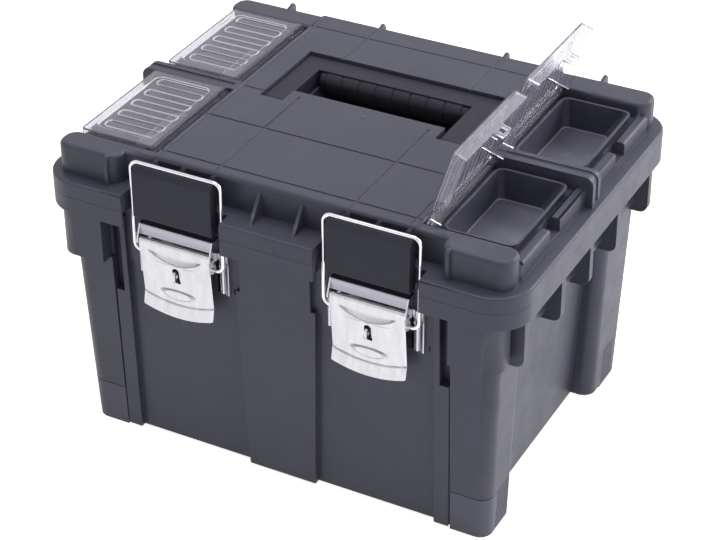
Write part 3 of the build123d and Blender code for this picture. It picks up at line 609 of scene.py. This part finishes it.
# Steel pieces that keep their CAD shape
for side in SIDES:
    for node, material in (
        (f"latch_bail_{side}", wire_steel),
        (f"padlock_staple_{side}", steel),
        (f"bracket_rivets_{side}", steel),
        (f"latch_pivot_pin_{side}", pin_steel),
        (f"hinge_pin_{side}", pin_steel),
    ):
        dress(nodes[node], material)


# Latches, drawn round their centre line and lever pivot

SHEET = 1.3
LEVER_HALF = 34.7
LEVER_LENGTH = 70.0
LEVER_BOW = 6.5
LEVER_LEAN = math.tan(math.radians(4.6))
LIP_LENGTH = 12.0
LIP_FLARE = 0.22
ROLL_RADIUS = 3.3
ROLL_END = 235.0
EDGE_CURL = 2.2
CRESCENT_TOP = -5.5
CRESCENT_DEEP = 11.0
CRESCENT_HALF = 28.0
CRESCENT_DEPTH = 1.0
OVAL_DROP = 46.0
OVAL_HALF = (17.0, 5.5)
OVAL_RAISE = 1.0
OVAL_BOW = 1.4
GROOVE_HALF = 0.7
GROOVE_DEPTH = 0.45
DENT_DROP = 17.6
DENT_BOW = 2.2
DENT_HALF = 22.0
DENT_LINE = 0.5
DENT_DEPTH = 0.25
SLOT_DROP = 27.0
SLOT_HALF = (3.2, 8.0)
CRANK = (5.0, -14.0)
CRANK_LOBE = 3.5
EAR_IN = 35.0
EAR_OUT = 36.3
BRACKET_REACH = {-1: 42.0, 1: 46.5}
SEAT = 12.0
STRAP_FRONT = 1.6
STRAP_LOW = 4.2
STRAP_HIGH = 15.0
STRAP_FOLD = 1.8
BRACKET_LOW = -39.0
# Wing: a ridge, a dark groove and an outer ridge with its edge bent forward,
# as tenths of the wing's reach and millimetres from the seat plate's front
WING_LINE = (
    (-1.5, 0.0), (0.8, 0.0), (1.6, -0.8), (2.4, -1.1), (3.8, -1.1), (4.6, -0.8), (5.0, 0.4),
    (5.5, 0.4), (5.9, -0.9), (6.6, -1.4), (8.4, -1.6), (9.2, -2.0), (10.0, -2.0),
)


def hull(circles, steps=24):
    """Outline round some (a, b, radius) circles."""
    points = []
    for a, b, radius in circles:
        for step in range(steps):
            turn = 2 * math.pi * step / steps
            points.append((a + radius * math.cos(turn), b + radius * math.sin(turn)))
    points = sorted(set(points))
    chains = []
    for row in (points, points[::-1]):
        chain = []
        for p in row:
            while len(chain) > 1 and (
                (chain[-1][0] - chain[-2][0]) * (p[1] - chain[-2][1])
                - (chain[-1][1] - chain[-2][1]) * (p[0] - chain[-2][0])
            ) <= 0:
                chain.pop()
            chain.append(p)
        chains += chain[:-1]
    return chains


def lever_plate(name):
    """Pressed lever sheet: rolled top, crescent, oval boss, flared lip with a bowed edge."""
    across = np.linspace(-LEVER_HALF, LEVER_HALF, 111)
    turns = np.radians(np.linspace(ROLL_END, 0, 24))
    down = np.linspace(0, 1, 112)[1:]
    x_roll, turn = np.meshgrid(across, turns)
    x, share = np.meshgrid(across, down)
    edge = -LEVER_LENGTH + LEVER_BOW * (x / LEVER_HALF) ** 2
    z = edge * share
    knee = edge + LIP_LENGTH
    front = ROLL_RADIUS + LEVER_LEAN * z
    front = front + np.where(z < knee, (knee - z) * (LEVER_LEAN + LIP_FLARE), 0)

    # Pressed shapes, outward positive, and the painted shade that each slope and crease gets
    belly = CRESCENT_DEEP * np.clip(1 - (x / CRESCENT_HALF) ** 2, 0, 1)
    inside = np.where(belly > 0.2, (CRESCENT_TOP - z) / np.maximum(belly, 0.2), -1)
    crescent = np.where((inside > 0) & (inside < 1), ramp(inside, 0, 0.8), 0)
    crescent = crescent * ramp(belly, 0.2, 3.0)
    oval_z = z + OVAL_DROP + OVAL_BOW * (1 - (x / OVAL_HALF[0]) ** 2)
    oval = np.hypot(x / OVAL_HALF[0], oval_z / OVAL_HALF[1])
    boss = 1 - ramp(oval, 0.72, 1.0)
    groove = np.exp(-((z - knee) / GROOVE_HALF) ** 2)
    dent = np.exp(-((z + DENT_DROP - DENT_BOW * (x / DENT_HALF) ** 2) / DENT_LINE) ** 2)
    dent = dent * ramp(np.abs(x), 21, 17) * ramp(np.abs(x), 5, 8)
    pressed = OVAL_RAISE * boss - CRESCENT_DEPTH * crescent - GROOVE_DEPTH * groove - DENT_DEPTH * dent
    curl = np.clip((np.abs(x) - LEVER_HALF + EDGE_CURL) / EDGE_CURL, 0, 1)
    pressed = pressed - EDGE_CURL * 0.6 * (1 - np.sqrt(1 - 0.96 * curl ** 2))
    rim = ramp(oval, 0.62, 0.86) * ramp(oval, 1.12, 0.94)
    # Painted shade: the oval's rim darker on its upper side, the crescent darker towards its lower edge and
    # its right end, the groove and the dent darker
    oval_painted_shade = 0.15 + 0.75 * ramp(z + OVAL_DROP, -3.0, 3.0)
    crescent_painted_shade = 0.25 + 0.35 * ramp(x, -30, 25)
    dark = np.maximum.reduce([crescent * crescent_painted_shade, rim * oval_painted_shade, groove * 0.7, dent * 0.5])

    bm = bmesh.new()
    # Painted shade for each vertex, which the steel mixes in as a darker colour
    painted_shade = bm.verts.layers.float.new("painted_shade")
    rows = []
    for k in range(len(turns)):
        row = []
        for i in range(len(across)):
            inset = pressed[0, i] * (1 if k > len(turns) - 6 else 0)
            size = ROLL_RADIUS + inset * (k - len(turns) + 6) / 6
            angle = turn[k, i]
            row.append(bm.verts.new((x_roll[k, i], -size * math.cos(angle), size * math.sin(angle))))
        rows.append(row)
    for k in range(len(down)):
        row = []
        for i in range(len(across)):
            vert = bm.verts.new((x[k, i], -front[k, i] - pressed[k, i], z[k, i]))
            vert[painted_shade] = dark[k, i]
            row.append(vert)
        rows.append(row)
    for upper, lower in zip(rows, rows[1:]):
        for i in range(len(across) - 1):
            bm.faces.new((upper[i], lower[i], lower[i + 1], upper[i + 1]))
    plate = new_object(name, bm)
    thick = plate.modifiers.new("thickness", "SOLIDIFY")
    thick.thickness = SHEET * 0.8
    thick.offset = -1
    thick.use_even_offset = False
    settle(plate)

    # Keyhole for the staple, wider at its foot
    half = SLOT_HALF[0]
    keyhole = arc((0, SLOT_HALF[1] - half), half, 0, 180, 12)
    keyhole += [(-half, 0), (-half - 0.9, -5.5), (-half - 0.6, -7.6), (-1.6, -7.2)]
    keyhole += [(1.6, -7.2), (half + 0.6, -7.6), (half + 0.9, -5.5), (half, 0)]
    hole = prism("keyhole", [(a, b - SLOT_DROP) for a, b in keyhole], -12, 6, "xz")
    boolean(plate, hole, "DIFFERENCE")
    return plate


def make_lever(name):
    """Lever plate with its two cranked sides."""
    lever = lever_plate(name)
    sides = []
    for sign in (-1, 1):
        x0, x1 = sorted((sign * (LEVER_HALF - SHEET), sign * (LEVER_HALF - 0.1)))
        outline = hull([
            (0, 0, ROLL_RADIUS - 0.5), (*CRANK, CRANK_LOBE),
            (-ROLL_RADIUS + LEVER_LEAN * -CRANK[1] + SHEET, CRANK[1], 1.0),
        ])
        sides.append(prism("side", outline, x0, x1, "yz"))
    join(lever, sides)
    lever.data.transform(Matrix.Scale(MM, 4))
    smooth(lever, 40)
    dress(lever, steel)
    return lever


def make_bracket(name):
    """Bent bracket: seat plate with rolled wings, two ears and the strap that ties them."""
    plate_outline = rounded_outline(-EAR_OUT, EAR_OUT, BRACKET_LOW, STRAP_HIGH, 1.5)
    plate = prism(name, plate_outline, SEAT - SHEET, SEAT, "xz")
    parts = []
    for sign in (-1, 1):
        end = BRACKET_REACH[sign]
        step = (end - EAR_OUT) / 10
        outer = [(EAR_OUT + a * step, SEAT - SHEET + b) for a, b in WING_LINE]
        inner = [(end, SEAT), (EAR_OUT + WING_LINE[0][0] * step, SEAT)]
        outline = [(sign * a, b) for a, b in outer + inner]
        parts.append(prism("wing", outline, BRACKET_LOW, 0.0, "xy"))
        x0, x1 = sorted((sign * EAR_IN, sign * EAR_OUT))
        outline = hull([
            (0, 0, ROLL_RADIUS + 0.6), (STRAP_FRONT + 0.9, STRAP_HIGH - 0.9, 0.9),
            (SEAT - SHEET, STRAP_HIGH - 0.6, 0.6), (SEAT - SHEET, -5, 0.6),
        ])
        parts.append(prism("ear", outline, x0, x1, "yz"))
    # Strap: folded over at the top and hemmed at the lower edge
    fold = [(SEAT - 0.2, STRAP_HIGH)]
    fold += arc((STRAP_FRONT + STRAP_FOLD, STRAP_HIGH - STRAP_FOLD), STRAP_FOLD, 90, 180)
    fold += [(STRAP_FRONT, STRAP_LOW + 2.6), (STRAP_FRONT - 0.5, STRAP_LOW + 2.0)]
    fold += [(STRAP_FRONT - 0.5, STRAP_LOW + 0.6), (STRAP_FRONT, STRAP_LOW)]
    strap = sheet_profile("strap", fold, -SHEET, -EAR_OUT + 0.1, EAR_OUT - 0.1)
    join(plate, parts)
    steel_faces = len(plate.data.polygons)
    join(plate, [strap])
    plate.data.transform(Matrix.Scale(MM, 4))
    smooth(plate, 40)
    dress(plate, steel)
    # The strap's darker steel is painted shade
    plate.data.materials.append(strap_steel)
    for polygon in list(plate.data.polygons)[steel_faces:]:
        polygon.material_index = 1
    return plate


for side in SIDES:
    pivot = Vector(joints[f"latch_lever_{side}_pivot"]["pos_m"])
    lever = make_lever(f"latch_lever_{side}_pressed")
    lever.data.transform(Matrix.Translation(pivot))
    place(lever, f"lever_{side}", "plated_steel", f"latch_lever_{side}")
    bracket = make_bracket(f"latch_bracket_{side}_bent")
    bracket.data.transform(Matrix.Translation(pivot))
    place(bracket, "tub", "plated_steel", f"latch_bracket_{side}")


# Clear flaps, drawn shut on the right round their hinge

FLAP_REACH = 74.0
FLAP_HALF = 60.0
FLAP_TOP = 5.3
FLAP_UNDER = 3.3
FLAP_SKIRT = -7.2
SKIRT_START = 6.0
FLAP_WALL = 1.8
FLAP_CORNER = 4.0
FLAP_EDGE = 1.3
PANEL_MARGIN = 8.5
PANEL_CORNER = 7.0
PANEL_STEP = 0.5
RIB_HALF = 0.6
RIB_RAISE = 0.75
RIB_PASSES = 10
RIB_MARGIN = 13.0
RIB_SPAN = (11.0, 56.5)
LINE_HALF = 0.75
BARREL_RADIUS = 2.6
PIN_RADIUS = 1.5
PIN_REACH = 5.5
TAB_HALF = 8.0
TAB_DROP = 9.0
WINDOW_HALF = 4.0
WINDOW_LOW = 2.2
WINDOW_HIGH = 7.2
FROST_FROM = FLAP_REACH - 2.1
OPEN_ANGLE = math.radians(72.5)


def winding_path():
    """The rib's line: passes across the flap, joined by round turns."""
    x0, x1 = RIB_SPAN
    low = -FLAP_HALF + RIB_MARGIN
    pitch = 2 * (FLAP_HALF - RIB_MARGIN) / (RIB_PASSES - 1)
    bend = pitch / 2
    path = []
    for k in range(RIB_PASSES):
        y = low + k * pitch
        ends = (x0, x1) if k % 2 == 0 else (x1, x0)
        path += [(ends[0], y), (ends[1], y)]
        if k < RIB_PASSES - 1:
            side = 1 if k % 2 == 0 else -1
            for step in range(1, 8):
                turn = math.radians(-90 + 180 * step / 8)
                out = side * bend * 0.6 * math.cos(turn)
                path.append((ends[1] + out, y + bend + bend * math.sin(turn)))
    return path


def box_distance(x, y, margin, corner):
    """Distance inside a round cornered rectangle of the flap, negative outside it."""
    dx = np.abs(x - FLAP_REACH / 2) - (FLAP_REACH / 2 - margin - corner)
    dy = np.abs(y) - (FLAP_HALF - margin - corner)
    return corner - np.hypot(np.maximum(dx, 0), np.maximum(dy, 0)) - np.minimum(np.maximum(dx, dy), 0)


def flap_plate(name):
    """Top of a flap: round edges, a sunk panel and the winding rib on it."""
    xs = np.linspace(0, FLAP_REACH, 94)
    ys = np.linspace(-FLAP_HALF, FLAP_HALF, 152)
    x, y = np.meshgrid(xs, ys, indexing="ij")

    # Round the two outer corners by drawing grid points in
    cx, cy = FLAP_REACH - FLAP_CORNER, FLAP_HALF - FLAP_CORNER
    dx, dy = np.maximum(x - cx, 0), np.maximum(np.abs(y) - cy, 0)
    reach = np.hypot(dx, dy)
    pull = np.where(reach > 1e-6, np.maximum(dx, dy) / np.maximum(reach, 1e-6), 1)
    x = np.where(dx > 0, cx + dx * pull, x)
    y = np.where(dy > 0, np.sign(y) * (cy + dy * pull), y)

    border = np.minimum(FLAP_REACH - x, FLAP_HALF - np.abs(y))
    corner_way = FLAP_CORNER - np.hypot(np.maximum(x - cx, 0), np.maximum(np.abs(y) - cy, 0))
    border = np.where((x > cx) & (np.abs(y) > cy), corner_way, border)
    t = np.clip(1 - border / FLAP_EDGE, 0, 1)
    z = FLAP_TOP - FLAP_EDGE * (1 - np.sqrt(1 - 0.98 * t * t))
    panel = box_distance(x, y, PANEL_MARGIN, PANEL_CORNER)
    z = z - PANEL_STEP * ramp(panel, 0.0, 1.6)
    rib = path_distance(x, y, winding_path())
    z = z + RIB_RAISE * ramp(rib, RIB_HALF + 0.5, RIB_HALF - 0.5)

    bm = bmesh.new()
    grid = [[bm.verts.new((x[i, j], y[i, j], z[i, j])) for j in range(len(ys))] for i in range(len(xs))]
    for i in range(len(xs) - 1):
        for j in range(len(ys) - 1):
            bm.faces.new((grid[i][j], grid[i + 1][j], grid[i + 1][j + 1], grid[i][j + 1]))
    loop = [row[0] for row in grid] + grid[-1][1:]
    loop += [row[-1] for row in reversed(grid[:-1])] + grid[0][-2:0:-1]
    low = [bm.verts.new((v.co.x, v.co.y, FLAP_UNDER)) for v in loop]
    for k in range(len(loop)):
        n = (k + 1) % len(loop)
        bm.faces.new((loop[k], low[k], low[n], loop[n]))
    bm.faces.new(low)
    bmesh.ops.recalc_face_normals(bm, faces=bm.faces)
    return new_object(name, bm)


def skirt_line(inset):
    """The skirt's line round three sides of a flap, set in from its edge."""
    centre = (FLAP_REACH - FLAP_CORNER, FLAP_HALF - FLAP_CORNER)
    half = [(SKIRT_START, FLAP_HALF - inset)] + arc(centre, FLAP_CORNER - inset, 90, 0)
    return [(x, -y) for x, y in half] + half[::-1]


def make_flap(name):
    """A clear flap with skirt, snap tab and hinge barrel, and a material for each kind of face."""
    flap = flap_plate(name)

    # Skirt on three sides, open at the hinge
    skirt = prism("skirt", skirt_line(0) + skirt_line(FLAP_WALL)[::-1], FLAP_SKIRT, FLAP_UNDER + 0.6, "xy")
    boolean(flap, skirt, "UNION")

    # Snap tab with its window
    tab_low = FLAP_SKIRT - TAB_DROP
    outline = rounded_outline(-TAB_HALF, TAB_HALF, tab_low, FLAP_SKIRT + 1.5, 2.0)
    tab = prism("tab", outline, FLAP_REACH - 2.0, FLAP_REACH - 0.1, "yz")
    outline = rounded_outline(-WINDOW_HALF, WINDOW_HALF, tab_low + WINDOW_LOW, tab_low + WINDOW_HIGH, 0.8)
    window = prism("window", outline, FLAP_REACH - 4, FLAP_REACH + 2, "yz")
    boolean(tab, window, "DIFFERENCE")
    boolean(flap, tab, "UNION")

    # Hinge barrel with its neck, and the pins at both ends
    neck_top = FLAP_UNDER + 0.5
    outline = [(-0.2, 0.0), (BARREL_RADIUS - 0.1, 0.0), (BARREL_RADIUS + 1.4, neck_top), (0.4, neck_top)]
    neck = prism("neck", outline, -FLAP_HALF + 0.4, FLAP_HALF - 0.4, "xz")
    boolean(flap, neck, "UNION")
    barrel = rod("barrel", (0, -FLAP_HALF, 0), (0, FLAP_HALF, 0), BARREL_RADIUS, 0.5, 32)
    boolean(flap, barrel, "UNION")
    pin = rod("pin", (0, -FLAP_HALF - PIN_REACH, 0), (0, FLAP_HALF + PIN_REACH, 0), PIN_RADIUS, 0.4, 24)
    boolean(flap, pin, "UNION")
    flap.data.transform(Matrix.Scale(MM, 4))
    smooth(flap, 30)

    # Frosted outer edge, pale lines of the ribs and panel that are a painted highlight, and a hinge that
    # hardly shows
    dress(flap, clear)
    for material in (frosted, ridge_highlight, thin_clear):
        flap.data.materials.append(material)
    centres = np.array([polygon.center for polygon in flap.data.polygons]) / MM
    x, y, z = centres.T
    rib = path_distance(x, y, winding_path())
    panel = box_distance(x, y, PANEL_MARGIN, PANEL_CORNER)
    on_top = z > FLAP_TOP - PANEL_STEP - 0.2
    lines = on_top & ((rib < LINE_HALF) | (np.abs(panel - 0.8) < 0.5))
    hinge = (x < BARREL_RADIUS + 1.5) & (z < FLAP_UNDER - 0.1) & (np.abs(y) < FLAP_HALF - 0.2)
    kinds = np.where(x > FROST_FROM, 1, np.where(lines, 2, np.where(hinge, 3, 0)))
    for polygon, kind in zip(flap.data.polygons, kinds):
        polygon.material_index = int(kind)
    return flap


pattern = make_flap("flap_pattern")
for spot in PLACES:
    for side in SIDES:
        hinge = Vector(joints[f"flap_{spot}_{side}_hinge"]["pos_m"])
        if side == "right":
            turn = Matrix.Rotation(-OPEN_ANGLE, 4, "Y")
        else:
            turn = Matrix.Rotation(math.pi, 4, "Z")
        flap = bpy.data.objects.new(f"flap_{spot}_{side}_clear", pattern.data.copy())
        flap.data.transform(Matrix.Translation(hinge) @ turn)
        scene.collection.objects.link(flap)
        place(flap, f"flap_{spot}_{side}", "clear_plastic", f"flap_{spot}_{side}")
bpy.data.objects.remove(pattern)


# Floor, background, light and camera

GLOSS_WHITE = 0.80
AMBIENT = 0.25
FLOOR_WHITE = 0.86
FLOOR_SIZE = 30.0
FLOOR_DROP = 0.0004
# Name, place, aim, size and power of each lamp
SOFTBOXES = (
    ("key", (1.35, 1.75, 1.15), (0, 0, 0.15), 1.3, 33),
    ("side", (2.1, -0.5, 0.9), (0, 0, 0.15), 1.2, 8),
    ("top", (0.1, 0.1, 2.3), (0, 0, 0.2), 1.5, 28),
    ("fill", (-1.2, -1.9, 0.6), (0, 0, 0.05), 1.6, 2),
)


def backdrop_nodes(tree):
    """1 for rays from the camera and through clear parts, a part of it for rays from gloss, else 0."""
    path = tree.nodes.new("ShaderNodeLightPath")
    gloss = tree.nodes.new("ShaderNodeMath")
    gloss.operation = "MULTIPLY"
    gloss.inputs[1].default_value = GLOSS_WHITE
    tree.links.new(path.outputs["Is Glossy Ray"], gloss.inputs[0])
    total = gloss.outputs["Value"]
    for name in ("Is Camera Ray", "Is Transmission Ray"):
        add = tree.nodes.new("ShaderNodeMath")
        add.operation = "MAXIMUM"
        tree.links.new(total, add.inputs[0])
        tree.links.new(path.outputs[name], add.inputs[1])
        total = add.outputs["Value"]
    return total


world = bpy.data.worlds.new("studio")
scene.world = world
world.use_nodes = True
tree = world.node_tree
background = tree.nodes["Background"]
background.inputs["Color"].default_value = (1, 1, 1, 1)
seen = backdrop_nodes(tree)
level = tree.nodes.new("ShaderNodeMapRange")
level.inputs["To Min"].default_value = AMBIENT
level.inputs["To Max"].default_value = 1.0
tree.links.new(seen, level.inputs["Value"])
tree.links.new(level.outputs["Result"], background.inputs["Strength"])

bm = bmesh.new()
bmesh.ops.create_grid(bm, x_segments=1, y_segments=1, size=FLOOR_SIZE / 2)
floor = new_object("floor", bm)
floor.location.z = -FLOOR_DROP
n = Nodes("floor_white")
diffuse = n.add("BsdfDiffuse")
diffuse.inputs["Color"].default_value = (FLOOR_WHITE, FLOOR_WHITE, FLOOR_WHITE, 1)
glow = n.add("Emission")
glow.inputs["Color"].default_value = (1, 1, 1, 1)
n.link(n.times(backdrop_nodes(n.tree), FLOOR_WHITE), glow.inputs["Strength"])
add = n.add("AddShader")
n.link(diffuse.outputs["BSDF"], add.inputs[0])
n.link(glow.outputs["Emission"], add.inputs[1])
output = n.add("OutputMaterial")
n.link(add.outputs["Shader"], output.inputs["Surface"])
dress(floor, n.material)


def softbox(name, at, target, size, power):
    """A square area lamp that faces a target."""
    data = bpy.data.lights.new(name, "AREA")
    data.shape = "RECTANGLE"
    data.size = size
    data.size_y = size
    data.energy = power
    lamp = bpy.data.objects.new(name, data)
    lamp.location = at
    lamp.rotation_euler = (Vector(target) - Vector(at)).to_track_quat("-Z", "Y").to_euler()
    scene.collection.objects.link(lamp)


for lamp in SOFTBOXES:
    softbox(*lamp)

camera_data = bpy.data.cameras.new("camera")
camera_data.sensor_fit = "HORIZONTAL"
camera_data.sensor_width = SENSOR_WIDTH
camera_data.lens = FOCAL_PIXELS / PHOTO_WIDTH * SENSOR_WIDTH
camera_data.clip_end = 100
camera = bpy.data.objects.new("camera", camera_data)
axes = Matrix((CAMERA_RIGHT, [-v for v in CAMERA_DOWN], [-v for v in CAMERA_FORWARD])).transposed()
camera.matrix_world = Matrix.Translation(CAMERA_AT) @ axes.to_4x4()
scene.collection.objects.link(camera)
scene.camera = camera
scene.view_settings.view_transform = "Standard"
